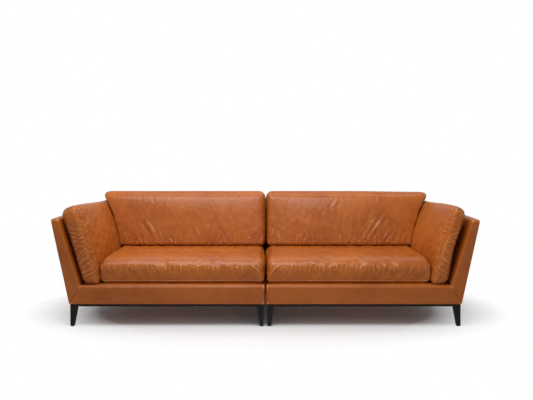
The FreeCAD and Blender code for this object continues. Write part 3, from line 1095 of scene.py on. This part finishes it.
    def settle(self, piece: bpy.types.Object, unit: Points, start: Points) -> None:
        """Lets the leather, cut a little large, buckle over its soft filling.

        Args:
            piece: The piece, whose mesh is changed.
            unit: Its points in cube coordinates.
            start: Its points before it settles.
        """
        firm = np.clip(self.firmness(unit) * self.hold, 0, 1)
        seam = np.clip(self.seams(unit), 0, 1)
        for name, weights in (("hold", firm), ("seam", seam)):
            group = piece.vertex_groups.new(name=name)
            for index, weight in enumerate(weights):
                group.add([index], float(weight), "REPLACE")
        modifier = piece.modifiers.new("leather", "CLOTH")
        cloth = modifier.settings
        cloth.quality = 6
        cloth.mass = 0.5
        cloth.tension_stiffness = 40
        cloth.compression_stiffness = 40
        cloth.shear_stiffness = 10
        cloth.bending_stiffness = self.bending
        cloth.vertex_group_mass = "hold"
        cloth.pin_stiffness = 1.0
        cloth.shrink_min = -self.ease
        cloth.shrink_max = 0.0
        cloth.vertex_group_shrink = "seam"
        cloth.use_pressure = True
        cloth.uniform_pressure_force = self.pressure
        cloth.effector_weights.gravity = 0
        modifier.point_cache.frame_start = 1
        modifier.point_cache.frame_end = self.steps
        for step in range(1, self.steps + 1):
            bpy.context.scene.frame_set(step)
        graph = bpy.context.evaluated_depsgraph_get()
        settled = places(piece.evaluated_get(graph).data)
        piece.modifiers.clear()
        piece.vertex_groups.clear()
        bpy.context.scene.frame_set(1)
        move = settled - start
        length = np.maximum(np.linalg.norm(move, axis=1, keepdims=True), TINY)
        mean, most = length.mean() / MM, length.max() / MM
        log.info("%s settled: mean %.1f mm, most %.1f mm", self.name, mean, most)
        set_places(piece.data, start + move * self.cap * np.tanh(length / self.cap) / length)

    def dress(self, piece: bpy.types.Object, finish: bpy.types.Material) -> None:
        """Gives the cushion its leather, hangs it on its body and hides the frame's cover and fill that it
        stands for.

        Args:
            piece: The finished cushion.
            finish: Its leather.
        """
        for welt in self.welts(piece):
            welt.data.materials.append(finish)
            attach(welt, self.name)
        piece.data.attributes.remove(piece.data.attributes["unit"])
        piece.data.materials.append(finish)
        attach(piece, self.name)
        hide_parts(f"{self.name}_cover", f"{self.name}_fill")


@dataclass
class SeatCushion(Cushion):
    """The seat: a deep box whose front rolls over from the crown to a low seam.

    Attributes:
        crown: How far its top is domed.
        end_bulge: How far the front of its outer end stands proud.
        seam_height: The height of its seam, from -1 to 1.
        upper_radii: How far its upper edges are rounded along X, Y and Z.
        lower_radii: How far its lower edges are.
    """

    part: str = "seat"
    crown: float = 0.012
    end_bulge: float = 0.012
    welt: float = 0.0022
    # The seat's seam cord is tinted paler still: partly rubbed dye, partly a painted highlight that makes
    # the thin seam read as a light line.
    wear_and_highlight: float = 0.8
    seam_height: float = -0.70
    deck_lift: float = 0.004
    upper_radii: Triple = (0.045, 0.105, 0.076)
    lower_radii: Triple = (0.034, 0.045, 0.032)

    def shape(self, unit: Points, block: Hexahedron) -> Points:
        """Places the cube's points on the plump cushion, before the leather settles.

        Args:
            unit: The points on the cube.
            block: The block that bounds the cushion.

        Returns:
            The points' places.
        """
        above = smooth_step(unit[:, 2], -0.4, 0.2)[:, None]
        radii = above * self.upper_radii + (1 - above) * self.lower_radii
        soft = rounded(unit, block.lengths(), radii)
        points = block.place(soft)
        top = smooth_step(unit[:, 2], 0.6, 1.0)
        across = 1 - np.abs(unit[:, 0]) ** 3
        forward = smooth_step(-unit[:, 1], -0.35, 0.1) * (1 - smooth_step(-unit[:, 1], 0.5, 1.0))
        points[:, 2] += self.crown * top * across * forward
        end = smooth_step(self.outward(unit), 0.7, 1.0) * smooth_step(-unit[:, 1], 0.6, 0.9)
        points[:, 0] += self.side.value * self.end_bulge * end * (1 - unit[:, 2] ** 4)
        points[:, 0] += self.meeting(unit)
        return ArmFace(self.side).press(points)

    def firmness(self, unit: Points) -> Points:
        """Holds the leather firmly underneath and loosely on the front band.

        Args:
            unit: The points on the cube.

        Returns:
            One factor per point.
        """
        under = smooth_step(-unit[:, 2], 0.8, 1.0) * 8
        front = smooth_step(-unit[:, 1], 0.5, 0.95)
        return 1.0 + under - 0.5 * front

    def seams(self, unit: Points) -> Points:
        """The seam runs round the cushion, low on its sides."""
        level = np.abs(unit[:, 2] - self.seam_height)
        return 1 - smooth_step(level, 0.02, 0.25) + smooth_step(-unit[:, 2], 0.9, 1.0)

    def folds(self) -> list[Fold]:
        """Lays short upright creases on the front band, and a fan at its inner lower corner.

        Returns:
            The creases.
        """
        folds = pleats(
            self.seed,
            30,
            (-0.35, 0.1),
            (0.4, 0.75),
            (-0.96, 0.96),
            on_front,
            height=0.0030,
            width=0.0070,
        )
        sign = self.side.value
        for i in range(4):
            foot = (-sign * 0.97, -1, -0.3 + 0.1 * i)
            middle = (-sign * (0.93 - 0.012 * i), -1, -0.05 + 0.13 * i)
            tip = (-sign * (0.88 - 0.02 * i), -1, 0.2 + 0.16 * i)
            folds.append(Fold((foot, middle, tip), 0.003, 0.006))
        return folds

    def crinkle(self, unit: Points) -> Points:
        """The front band and the crest above it are finely crinkled."""
        off_band = smooth_step(np.abs(unit[:, 2] - 0.2), 0.3, 0.7)
        return 0.0002 + 0.0007 * (smooth_step(-unit[:, 1], 0.7, 0.95) * (1 - off_band))

    def seam_rings(self) -> list[tuple[int, float]]:
        """One seam, low on the sides."""
        return [(2, self.seam_height)]

    def confine(self, points: Points, unit: Points, block: Hexahedron) -> Points:
        """Keeps the seat off the deck, the other half and the arm cushion."""
        return ArmFace(self.side, gap=0.001).press(super().confine(points, unit, block))


@dataclass
class BackCushion(Cushion):
    """The back: a tall soft box that narrows upwards and stands on the seat.

    Attributes:
        belly: How far its front stands proud.
        ear: How far its upper outer corner reaches over the arm cushion.
        fall: How much lower the right cushion's outer end is.
        rise: How far its top swells up.
        rear_drop: How much lower its rear edge is than that.
        upper_radii: How far its upper edges are rounded along X, Y and Z.
        lower_radii: How far its lower edges are.
    """

    part: str = "back"
    ease: float = 0.010
    cap: float = 0.0030
    belly: float = 0.026
    ear: float = 0.020
    fall: float = 0.007
    rise: float = 0.006
    rear_drop: float = 0.018
    deck_lift: float = -0.009
    upper_radii: Triple = (0.036, 0.080, 0.050)
    lower_radii: Triple = (0.036, 0.036, 0.013)

    def shape(self, unit: Points, block: Hexahedron) -> Points:
        """Places the cube's points on the plump cushion, before the leather settles.

        Args:
            unit: The points on the cube.
            block: The block that bounds the cushion.

        Returns:
            The points' places.
        """
        above = smooth_step(unit[:, 2], -0.5, 0.5)[:, None]
        radii = above * self.upper_radii + (1 - above) * self.lower_radii
        soft = rounded(unit, block.lengths(), radii)
        points = block.place(soft)
        out = self.outward(unit)
        front = smooth_step(-unit[:, 1], 0.3, 1.0)
        fullness = (1 - np.abs(unit[:, 0]) ** 4) * (1 - np.abs(unit[:, 2] + 0.15) ** 3 / 1.5)
        points[:, 1] -= self.belly * front * fullness
        corner = np.abs(unit[:, 0]) ** 8 * smooth_step(unit[:, 2], 0.3, 1.0)
        points[:, 0] += self.side.value * self.ear * corner * (out > 0)
        rear_top = smooth_step(unit[:, 1], -0.3, 1.0) * smooth_step(unit[:, 2], 0.4, 1.0)
        high = smooth_step(unit[:, 2], 0.0, 1.0)
        points[:, 2] += self.rise * high - self.rear_drop * rear_top
        if self.side is Side.RIGHT:
            points[:, 2] -= self.fall * smooth_step(out, 0.0, 1.0) * high
        points[:, 0] += self.meeting(unit)
        return ArmFace(self.side).press(points)

    def firmness(self, unit: Points) -> Points:
        """Held firmly at the rear and the top, loosely near the bottom."""
        top = smooth_step(unit[:, 2], -0.3, 0.5)
        return 1.0 + 1.5 * top + 6 * smooth_step(unit[:, 1], 0.5, 1.0)

    def seams(self, unit: Points) -> Points:
        """A seam along every edge of the front and rear panels."""
        return smooth_step(np.abs(unit[:, 2]), 0.9, 1.0) + smooth_step(np.abs(unit[:, 0]), 0.97, 1.0)

    def folds(self) -> list[Fold]:
        """Lays puckers along the bottom and the top, and a few long soft folds on the front.

        Returns:
            The folds.
        """
        span = (-0.95, 0.95)
        bottom = pleats(
            self.seed + 2,
            20,
            (-1.0, -0.9),
            (-0.75, -0.3),
            span,
            on_front,
            slant=0.03,
            height=0.0026,
            width=0.010,
        )
        top = pleats(
            self.seed + 3,
            12,
            (0.95, 1.0),
            (0.5, 0.85),
            span,
            on_front,
            slant=0.02,
            height=0.0015,
            width=0.010,
        )
        return bottom + top + self.long_folds()

    def crinkle(self, unit: Points) -> Points:
        """The lower part of the front is the most crinkled."""
        return 0.0002 + 0.0008 * smooth_step(-unit[:, 2], 0.2, 0.9)

    def seam_rings(self) -> list[tuple[int, float]]:
        """One seam round the rear panel."""
        return [(1, 0.6)]

    def long_folds(self) -> list[Fold]:
        """Lays the long folds that each back cushion has of its own.

        A line below is three points across and up the front, a height and a width.

        Returns:
            The folds.
        """
        if self.side is Side.LEFT:
            lines = [
                ((-0.52, -0.05), (-0.46, -0.45), (-0.42, -0.9), 0.006, 0.014),
                ((-0.60, 0.05), (-0.55, -0.3), (-0.52, -0.6), -0.004, 0.016),
                ((0.10, -0.25), (0.13, -0.55), (0.12, -0.85), 0.004, 0.012),
                ((0.28, -0.2), (0.24, -0.5), (0.22, -0.8), 0.005, 0.012),
                ((0.86, 0.45), (0.89, 0.3), (0.93, 0.15), 0.003, 0.008),
                ((-0.20, 0.85), (-0.24, 0.6), (-0.25, 0.3), 0.003, 0.012),
            ]
        else:
            lines = [
                ((0.52, 0.15), (0.42, -0.3), (0.30, -0.85), 0.006, 0.013),
                ((0.40, 0.05), (0.33, -0.4), (0.22, -0.9), 0.005, 0.012),
                ((0.30, 0.30), (0.30, 0.0), (0.24, -0.35), -0.004, 0.016),
                ((0.62, -0.35), (0.56, -0.65), (0.52, -0.92), 0.005, 0.010),
                ((-0.10, 0.75), (-0.16, 0.45), (-0.12, 0.1), 0.004, 0.013),
                ((-0.90, -0.35), (-0.93, -0.6), (-0.97, -0.85), 0.005, 0.010),
                ((0.70, -0.2), (0.72, -0.5), (0.69, -0.8), -0.003, 0.012),
            ]
        return [
            Fold(tuple(on_front(*point) for point in path), 0.6 * height, 1.15 * width)
            for *path, height, width in lines
        ]


@dataclass(frozen=True)
class Slump:
    """How one arm cushion has slumped with use.

    Attributes:
        slack: How far the leather stands off the arm's panel, at the bottom and higher up.
        drop: How far its outer edge has dropped, as a share of the usual.
        creasing: How high the creases across its front are, as a share of the usual.
    """

    slack: tuple[float, float]
    drop: float
    creasing: float


SLUMPS = {
    Side.LEFT: Slump((0.016, 0.020), 1.0, 1.0),
    Side.RIGHT: Slump((0.018, 0.044), 1.25, 0.55),
}
# The creases across an arm cushion's front: where each starts, how far it rises and bows on
# its way inwards, its height and its width.
ARM_CREASES = (
    (0.55, -0.16, 0.5, 0.0022, 0.008),
    (0.40, -0.22, -0.6, 0.0030, 0.007),
    (0.22, -0.08, 0.8, -0.0026, 0.009),
    (0.05, 0.16, 0.5, 0.0030, 0.007),
    (-0.10, 0.24, -0.7, 0.0036, 0.007),
    (-0.20, 0.30, 0.4, -0.0030, 0.009),
    (-0.38, 0.30, 0.8, 0.0036, 0.006),
    (-0.46, 0.22, -0.5, 0.0028, 0.007),
    (-0.62, 0.26, 0.6, -0.0030, 0.008),
    (-0.70, 0.16, -0.6, 0.0032, 0.007),
    (-0.84, 0.16, 0.4, 0.0026, 0.006),
)
SHARES = (0.0, 0.3, 0.65, 1.0)


@dataclass
class ArmCushion(Cushion):
    """The arm: a long soft box that leans out against the arm's panel.

    Attributes:
        lean_drop: How much lower the outer edge of its top usually is.
        rear_drop: How much lower the rear of its top is.
        rise: How far its top swells up.
        crown: How far its front is domed.
        foot_forward: How far the foot of its front stands forward.
        radii: How far its edges are rounded along X, Y and Z.
    """

    part: str = "arm"
    lean_drop: float = 0.036
    rear_drop: float = 0.030
    rise: float = 0.012
    crown: float = 0.008
    deck_lift: float = -0.002
    foot_forward: float = 0.010
    radii: Triple = (0.042, 0.036, 0.052)

    def shape(self, unit: Points, block: Hexahedron) -> Points:
        """Places the cube's points on the plump cushion, before the leather settles.

        Args:
            unit: The points on the cube.
            block: The block that bounds the cushion.

        Returns:
            The points' places.
        """
        soft = rounded(unit, block.lengths(), np.array(self.radii))
        points = block.place(soft)
        face = ArmFace(self.side)
        out = (1 + self.outward(unit)) / 2
        low, high = SLUMPS[self.side].slack
        slack = low + (high - low) * smooth_step(unit[:, 2], -1.0, 0.1)
        bulge = face.bulge(points, block) * (1 - out) + slack * out
        points[:, 0] -= self.side.value * bulge
        crown = (1 - unit[:, 0] ** 4) * (1 - unit[:, 2] ** 4) * smooth_step(-unit[:, 1], 0.9, 1.0)
        points[:, 1] -= self.crown * crown
        up = smooth_step(unit[:, 2], -0.4, 1.0)
        rearwards = smooth_step(unit[:, 1], -0.9, 0.8)
        lean_drop = SLUMPS[self.side].drop * self.lean_drop
        points[:, 2] -= up * (lean_drop * out + self.rear_drop * rearwards)
        points[:, 2] += self.rise * up
        foot = smooth_step(-unit[:, 2], -0.6, 1.0)
        points[:, 1] -= self.foot_forward * foot * smooth_step(-unit[:, 1], 0.3, 1.0)
        return points

    def firmness(self, unit: Points) -> Points:
        """Held firmly against the arm's panel, loosely along its front."""
        return 1.0 + 6 * smooth_step(self.outward(unit), 0.5, 1.0)

    def seams(self, unit: Points) -> Points:
        """A seam along the edge between the front panel and the inner face."""
        inner = smooth_step(-self.outward(unit), 0.8, 1.0)
        return smooth_step(-unit[:, 1], 0.93, 0.99) * inner

    def folds(self) -> list[Fold]:
        """Lays slanting creases across the front, and short ones along its inner edge.

        Returns:
            The creases.
        """
        sign, share = self.side.value, SLUMPS[self.side].creasing
        across = []
        for start, rise, bow, height, width in ARM_CREASES:
            path = tuple(
                on_front(sign * (0.9 - 1.7 * t), start + rise * (t + bow * t * (1 - t))) for t in SHARES
            )
            across.append(Fold(path, height * share, width))
        edge = pleats(
            self.seed + 5,
            22,
            (-1.0, -0.97),
            (-0.94, -0.82),
            (-0.85, 0.9),
            lambda up, depth: (-sign, depth, up),
            slant=0.05,
            height=0.0016,
            width=0.008,
        )
        return across + edge

    def crinkle(self, unit: Points) -> Points:
        """The front is finely crinkled."""
        return 0.0002 + 0.0010 * smooth_step(-unit[:, 1], 0.85, 1.0)

    def seam_rings(self) -> list[tuple[int, float]]:
        """One seam round the front panel and one round the rear panel."""
        return [(1, -0.955), (1, 0.955)]


# --- Upholstered shell ----------------------------------------------------------------


@dataclass
class Shell:
    """The leather-covered base, arm and back of one half.

    The three meet in mitred seams: the arm's panel runs down to the lower edge of the
    base, and so does the back's.

    Attributes:
        side: The half of the sofa.
        spacing: The distance between points away from the edges.
        edge: The rounding of the outer edges.
        top_edge: The rounding of the base's upper edge.
        inner_edge: The rounding of the edges that the cushions touch, and of the arm tops.
        low_edge: The rounding of the base's lower edge.
        mitre: The rounding along a mitre.
        band: The width of the strip of close points along each edge.
        band_cells: How many cells run across that strip.
        swell: How far the foam swells the middle of a face.
        deck_swell: How far it swells the deck under the seat.
        overhang: How far the arm's leather stands outside its frame.
        end_height: How far the inner ends swell past the middle of the sofa.
        front_fall: How much lower the front of the right arm's top is.
    """

    side: Side
    spacing: float = 0.024
    edge: float = 0.007
    top_edge: float = 0.018
    inner_edge: float = 0.014
    low_edge: float = 0.010
    mitre: float = 0.0005
    band: float = 0.018
    band_cells: int = 4
    swell: float = 0.0025
    deck_swell: float = 0.008
    overhang: float = 0.005
    end_height: float = 0.007
    front_fall: float = 0.007

    def build(self) -> dict[str, bpy.types.Object]:
        """Makes the three leather pieces.

        Returns:
            The pieces by name: base, arm and back.
        """
        return {name: self.upholster(name, block) for name, block in self.blocks().items()}

    def blocks(self) -> dict[str, Points]:
        """Cuts the three mitred blocks from the arm's, back's and base's solids.

        Returns:
            Each block's corners, by name.
        """
        arm = Hexahedron.of_node(f"{self.side.word}_arm_cover", 0.01).corners
        back = Hexahedron.of_node(f"{self.side.word}_back_cover", 0.01).corners
        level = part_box(f"{self.side.word}_base_cover")[0][2]
        out = 1 if self.side is Side.RIGHT else 0
        inner = 1 - out
        foot = self.carried(arm[out, 0], 0, level)
        rear = self.carried(back[0, 1], 1, level)
        front, deck = arm[0, 0, 0, 1], arm[0, 0, 0, 2]
        middle = back[inner, 0, 0, 0]
        if self.side is Side.RIGHT:
            arm[:, 0, 1, 2] -= self.front_fall
        foot += self.side.value * self.overhang
        arm[out, ..., 0] += self.side.value * self.overhang
        arm_low, back_low, base = arm.copy(), back.copy(), back.copy()
        arm_low[out, 0, 0] = (foot, front, level)
        arm_low[out, 1, 0] = (foot, rear, level)
        back_low[out, 1, 0] = (foot, rear, level)
        back_low[inner, 1, 0] = (middle, rear, level)
        for j, (y_low, y_high) in enumerate(((front, front), (rear, back[0, 0, 0, 1]))):
            base[inner, j] = ((middle, y_low, level), (middle, y_high, deck))
            base[out, j] = ((foot, y_low, level), (arm[inner, 0, 0, 0], y_high, deck))
        return {"arm": arm_low, "back": back_low, "base": base}

    def carried(self, edge: Points, axis: int, level: float) -> float:
        """Where a leaning edge, given by its two ends, gets to at a lower level."""
        low, high = edge
        return high[axis] + (level - high[2]) * (low[axis] - high[axis]) / (low[2] - high[2])

    def radii(self, name: str, unit: Points) -> Points:
        """Chooses how far the rounding reaches: hardly at all along a mitre.

        Args:
            name: The block's name.
            unit: Its points on the cube.

        Returns:
            The reach along X, Y and Z, one row per point.
        """
        reach = np.full(unit.shape, self.edge)
        outer = unit[:, 0] * self.side.value > 0
        if name == "base":
            reach[:, 0] = np.where(outer, self.mitre, self.edge)
            reach[:, 1] = np.where(unit[:, 1] > 0, self.mitre, self.inner_edge)
            reach[:, 2] = np.where(unit[:, 2] > 0, self.top_edge, self.low_edge)
        else:
            reach[:, 2] = np.where(unit[:, 2] > 0, self.inner_edge, self.mitre)
        if name == "arm":
            reach[:, 0] = np.where(outer, self.edge, self.inner_edge)
            reach[:, 1] = np.where(unit[:, 1] > 0, self.edge, self.inner_edge)
        if name == "back":
            reach[:, 0] = np.where(outer, self.mitre, self.edge)
        return reach

    def upholster(self, name: str, corners: Points) -> bpy.types.Object:
        """Covers a block in leather: rounded edges and a slight swell over the foam.

        Args:
            name: The block's name.
            corners: Its corners.

        Returns:
            The finished piece.
        """
        block = Hexahedron(corners)
        lengths = block.lengths()
        counts = tuple(2 * self.band_cells + max(1, round(length / self.spacing)) for length in lengths)
        piece = new_piece(f"{self.side.word}_{name}_leather", grid_cube(counts))
        even = places(piece.data)
        unit = np.empty_like(even)
        for axis, (count, length) in enumerate(zip(counts, lengths)):
            cells = (0, self.band_cells, count - self.band_cells, count)
            band = 2 * self.band / length
            levels = (-1, band - 1, 1 - band, 1)
            unit[:, axis] = np.interp((even[:, axis] + 1) / 2 * count, cells, levels)
        points = block.place(rounded(unit, lengths, self.radii(name, unit)))
        set_places(piece.data, points)
        away = np.sort(np.abs(unit), axis=1)[:, :2]
        middle = (1 - away**6).prod(axis=1)
        lift = middle * (self.swell + 1.2 * MM * ripple(points, 5 + len(name), 0.22))
        points += normals(piece.data) * lift[:, None]
        if name == "base":
            near = (1 - np.abs(unit[:, 0]) ** 30) * (1 - np.abs(unit[:, 1]) ** 30)
            loaded = smooth_step(unit[:, 0] * self.side.value, 0.74, 0.84)
            points[:, 2] += self.deck_swell * near * (unit[:, 2] > ON_FACE) * (1 - 0.7 * loaded)
        if name != "arm":
            inner = smooth_step(-unit[:, 0] * self.side.value, 0.99, 1.0) * (1 - unit[:, 2] ** 10)
            swell = end_swell(self.side, unit[:, 1], self.end_height)
            points[:, 0] -= self.side.value * inner * swell
        set_places(piece.data, points)
        note_creases(piece)
        return piece

    def dress(self, pieces: dict[str, bpy.types.Object], finish: bpy.types.Material) -> None:
        """Gives the three pieces their leather, hangs them on the half's body and hides the frame's covers
        and pads that they stand for.

        Args:
            pieces: The pieces by name.
            finish: Their leather.
        """
        for name, piece in pieces.items():
            piece.data.materials.append(finish)
            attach(piece, f"{self.side.word}_half")
            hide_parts(f"{self.side.word}_{name}_cover", f"{self.side.word}_{name}_pad")


# --- Studio -----------------------------------------------------------------------------


@dataclass(frozen=True)
class Softbox:
    """One rectangular light.

    Attributes:
        name: Its name.
        place: Where its middle is.
        size: Its width and depth.
        power: How strong it is, in watts.
    """

    name: str
    place: Triple
    size: tuple[float, float]
    power: float

    def hang(self, target: Vector) -> None:
        """Hangs the light in the scene, turned to a target.

        Args:
            target: What it shines at.
        """
        data = bpy.data.lights.new(self.name, "AREA")
        data.shape = "RECTANGLE"
        data.size, data.size_y = self.size
        data.energy = self.power
        item = bpy.data.objects.new(self.name, data)
        item.location = self.place
        item.rotation_euler = (target - Vector(self.place)).to_track_quat("-Z", "Y").to_euler()
        bpy.context.scene.collection.objects.link(item)


@dataclass(frozen=True)
class Studio:
    """Camera, lights and floor.

    Attributes:
        eye_height: The camera's height.
        distance: How far it stands from the front of the base.
        aside: How far it stands to the right of the middle.
        lens: Its focal length on a sensor 36 mm wide.
        drop: Its vertical shift.
        ambient: How strongly the white studio lights the sofa.
        softboxes: The lights: a large one over the front and a weak one over the rear.
        floor_tone: How pale the floor is.
        fade: Where the floor starts to fade out and is gone, on the oval round the sofa.
    """

    eye_height: float = 1.177
    distance: float = 3.75
    aside: float = 0.007
    lens: float = 37.99
    drop: float = -0.0938
    ambient: float = 0.50
    softboxes: tuple[Softbox, ...] = (
        Softbox("key", (-0.45, -1.15, 3.3), (3.0, 1.5), 83.0),
        Softbox("top", (0.1, 0.9, 3.0), (3.6, 1.0), 18.0),
    )
    floor_tone: float = 0.84
    fade: tuple[float, float] = (0.70, 1.02)

    def camera(self) -> None:
        """Stands the camera in front of the sofa's middle, at eye height."""
        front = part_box("right_base_cover")[0][1]
        data = bpy.data.cameras.new("camera")
        data.lens = self.lens
        data.sensor_width = 36.0
        data.shift_y = self.drop
        item = bpy.data.objects.new("camera", data)
        item.location = (self.aside, front - self.distance, self.eye_height)
        item.rotation_euler = (math.radians(90), 0.0, 0.0)
        bpy.context.scene.collection.objects.link(item)
        bpy.context.scene.camera = item

    def lights(self) -> None:
        """Hangs the softboxes and sets the white studio round them."""
        for softbox in self.softboxes:
            softbox.hang(Vector((0.0, 0.0, 0.4)))
        world = bpy.data.worlds.new("studio")
        bpy.context.scene.world = world
        world.use_nodes = True
        tree = world.node_tree
        tree.nodes.clear()
        seen = put(tree, "ShaderNodeLightPath").outputs["Is Camera Ray"]
        strength = ramp(tree, seen, 0.0, 1.0, self.ambient, 1.0)
        shade = put(tree, "ShaderNodeBackground", {"Color": (1, 1, 1, 1), "Strength": strength})
        put(tree, "ShaderNodeOutputWorld", {"Surface": shade.outputs[0]})
        bpy.context.scene.view_settings.view_transform = "Standard"

    def floor(self) -> None:
        """Lays a pale floor that fades out into the white studio round the sofa."""
        bm = bmesh.new()
        bmesh.ops.create_grid(bm, x_segments=1, y_segments=1, size=6.0)
        piece = new_piece("studio_floor", bm)
        material, tree = new_material("pale_floor")
        where = put(tree, "ShaderNodeTexCoord").outputs["Object"]
        oval = put(tree, "ShaderNodeMapping", {"Vector": where, "Scale": (0.57, 1.05, 1.0)}).outputs[0]
        away = put(tree, "ShaderNodeVectorMath", {0: oval}, operation="LENGTH").outputs["Value"]
        tone = opaque((self.floor_tone,) * 3)
        paint = put(tree, "ShaderNodeBsdfPrincipled", {"Base Color": tone, "Roughness": 0.6})
        clear = put(tree, "ShaderNodeBsdfTransparent")
        sockets = {0: ramp(tree, away, *self.fade), 1: paint.outputs[0], 2: clear.outputs[0]}
        mixed = put(tree, "ShaderNodeMixShader", sockets)
        put(tree, "ShaderNodeOutputMaterial", {"Surface": mixed.outputs[0]})
        piece.data.materials.append(material)


def dress_frame() -> None:
    """Gives every node that is carried over the finish of its material slot."""
    slots = {entry["node"]: entry["material_slot"] for entry in frame["record"]["subparts"]}
    made = {name: finish.make() for name, finish in NODE_FINISHES.items()}
    for name, item in frame["nodes"].items():
        finish = made.get(slots[name])
        if finish:
            item.data.materials.clear()
            item.data.materials.append(finish)
            log.info("%s is dressed in %s", name, finish.name)


def main() -> None:
    """Builds the sofa's pieces in order and sets the studio round them."""
    logging.basicConfig(level=logging.INFO, format="%(name)s: %(message)s")
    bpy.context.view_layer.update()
    studio = Studio()
    studio.camera()
    studio.lights()
    studio.floor()
    dress_frame()
    cushion_leather = CUSHION_LEATHER.make()
    frame_leather = FRAME_LEATHER.make()
    for side in Side:
        shell = Shell(side)
        shell.dress(shell.build(), frame_leather)
        for kind in (SeatCushion, BackCushion, ArmCushion):
            cushion = kind(side=side, seed=3 if side is Side.LEFT else 8)
            cushion.dress(cushion.build(), cushion_leather)
            log.info("%s is built", cushion.name)


if __name__ == "__main__":
    main()
